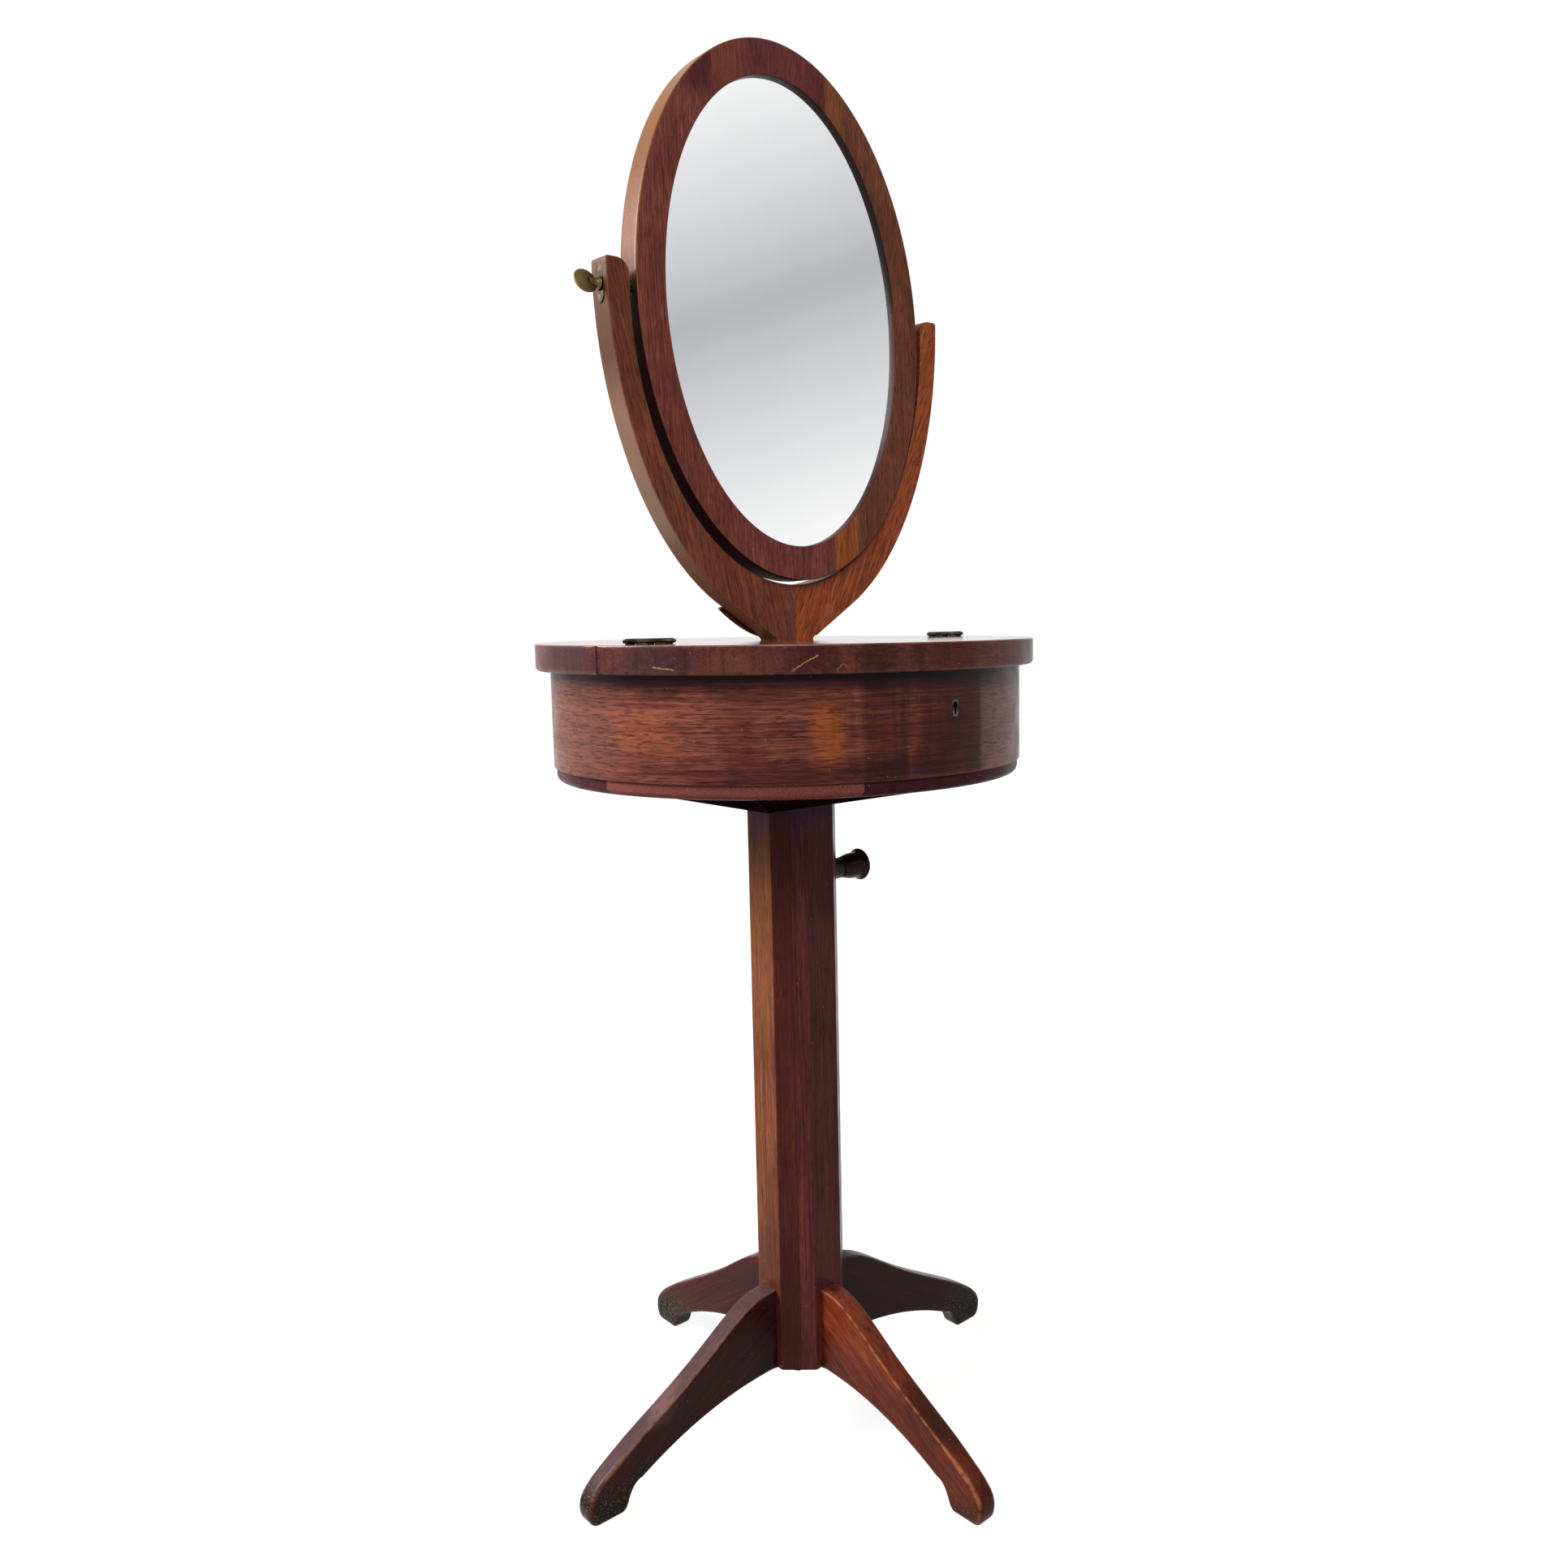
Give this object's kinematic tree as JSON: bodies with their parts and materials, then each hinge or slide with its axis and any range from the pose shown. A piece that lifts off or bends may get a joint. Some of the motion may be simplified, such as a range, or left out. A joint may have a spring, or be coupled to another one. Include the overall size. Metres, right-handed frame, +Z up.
{
  "type": "shaving stand",
  "caption": "Free-standing gentleman's shaving stand: oval mirror in a U-shaped yoke on a sliding post, over a round lidded box, on an octagonal column with four scrolled legs",
  "frame": {"origin": "on the floor, on the centre line of the column", "axes": "+Z up; -Y is the front, with the keyhole and the lid; +X is the side of the height knob, on the right as seen from the front"},
  "size_m": [0.552, 0.552, 1.4372],
  "materials": {
    "dark_wood": "dark mahogany stain under aged shellac, satin",
    "polished_wood": "red-brown mahogany under glossy French polish",
    "turned_wood": "ebonised hardwood, polished",
    "plain_wood": "bare hardwood",
    "brass": "aged brass, worn bright on the edges",
    "steel": "plain steel, dull",
    "silvered_glass": "silvered plate glass"
  },
  "bodies": {
    "stand": {"column_left_board": "dark_wood", "column_right_board": "dark_wood", "column_front_board": "dark_wood", "column_back_board": "dark_wood", "column_foot_block": "dark_wood", "guide_strips": "dark_wood", "knob_bush": "dark_wood", "column_screws": "steel", "leg_front": "dark_wood", "leg_back": "dark_wood", "leg_left": "dark_wood", "leg_right": "dark_wood", "leg_dowels": "plain_wood", "bearer": "dark_wood", "bearer_screws": "steel", "box_bottom": "dark_wood", "drum_wall": "polished_wood", "seam_rail": "dark_wood", "fixed_top": "polished_wood", "hinge_fixed_leaf_left": "brass", "hinge_fixed_leaf_right": "brass", "hinge_pin_left": "steel", "hinge_pin_right": "steel", "hinge_fixed_screws": "steel", "lock_case": "brass", "lock_screws": "steel", "keyhole_escutcheon": "brass"},
    "lid": {"lid_panel": "polished_wood", "hinge_lid_leaf_left": "brass", "hinge_lid_leaf_right": "brass", "hinge_lid_screws": "steel", "lock_link_plate": "brass", "link_plate_screws": "steel"},
    "lock_bolt": {"lock_bolt": "steel"},
    "mirror_carrier": {"mirror_post": "dark_wood", "post_stops": "dark_wood", "yoke_left": "polished_wood", "yoke_right": "polished_wood", "yoke_back_plate": "dark_wood", "lap_screws": "steel", "arm_plate_left": "brass", "arm_plate_right": "brass", "arm_plate_screws": "steel", "swing_pin_right": "brass"},
    "mirror": {"frame_top": "polished_wood", "frame_bottom": "polished_wood", "frame_bottom_strip": "polished_wood", "frame_left": "polished_wood", "frame_right": "polished_wood", "mirror_glass": "silvered_glass", "mirror_back": "plain_wood", "mirror_back_pins": "steel", "frame_bush_left": "brass", "frame_bush_right": "brass"},
    "tilt_screw": {"tilt_thumbscrew": "brass"},
    "clamp_shoe": {"clamp_shoe": "turned_wood"},
    "height_screw": {"clamp_screw": "turned_wood", "height_knob": "turned_wood"}
  },
  "joints": [
    {"name": "post_lift", "type": "slide", "parent": "stand", "child": "mirror_carrier", "axis": [0, 0, 1], "range_m": [0, 0.23]},
    {"name": "mirror_tilt", "type": "hinge", "parent": "mirror_carrier", "child": "mirror", "pos_m": [0, -0.001, 1.1724], "axis": [1, 0, 0], "continuous": true},
    {"name": "lid_open", "type": "hinge", "parent": "stand", "child": "lid", "pos_m": [0.1947, -0.0395, 0.8508], "axis": [-1, 0, 0], "range_deg": [0, 94]},
    {"name": "lock_bolt_slide", "type": "slide", "parent": "stand", "child": "lock_bolt", "axis": [1, 0, 0], "range_m": [0, 0.004]},
    {"name": "tilt_screw_turn", "type": "hinge", "parent": "mirror_carrier", "child": "tilt_screw", "pos_m": [-0.2105, -0.001, 1.1724], "axis": [1, 0, 0], "range_deg": [0, 270]},
    {"name": "clamp_travel", "type": "slide", "parent": "stand", "child": "clamp_shoe", "axis": [1, 0, 0], "range_m": [0, 0.003]},
    {"name": "height_knob_turn", "type": "hinge", "parent": "clamp_shoe", "child": "height_screw", "pos_m": [0.066, 0, 0.5975], "axis": [1, 0, 0], "range_deg": [0, 180]}
  ],
  "couplings": [
    {"joint": "height_knob_turn", "follows": "clamp_travel", "rad_per_m": 1047.2}
  ]
}
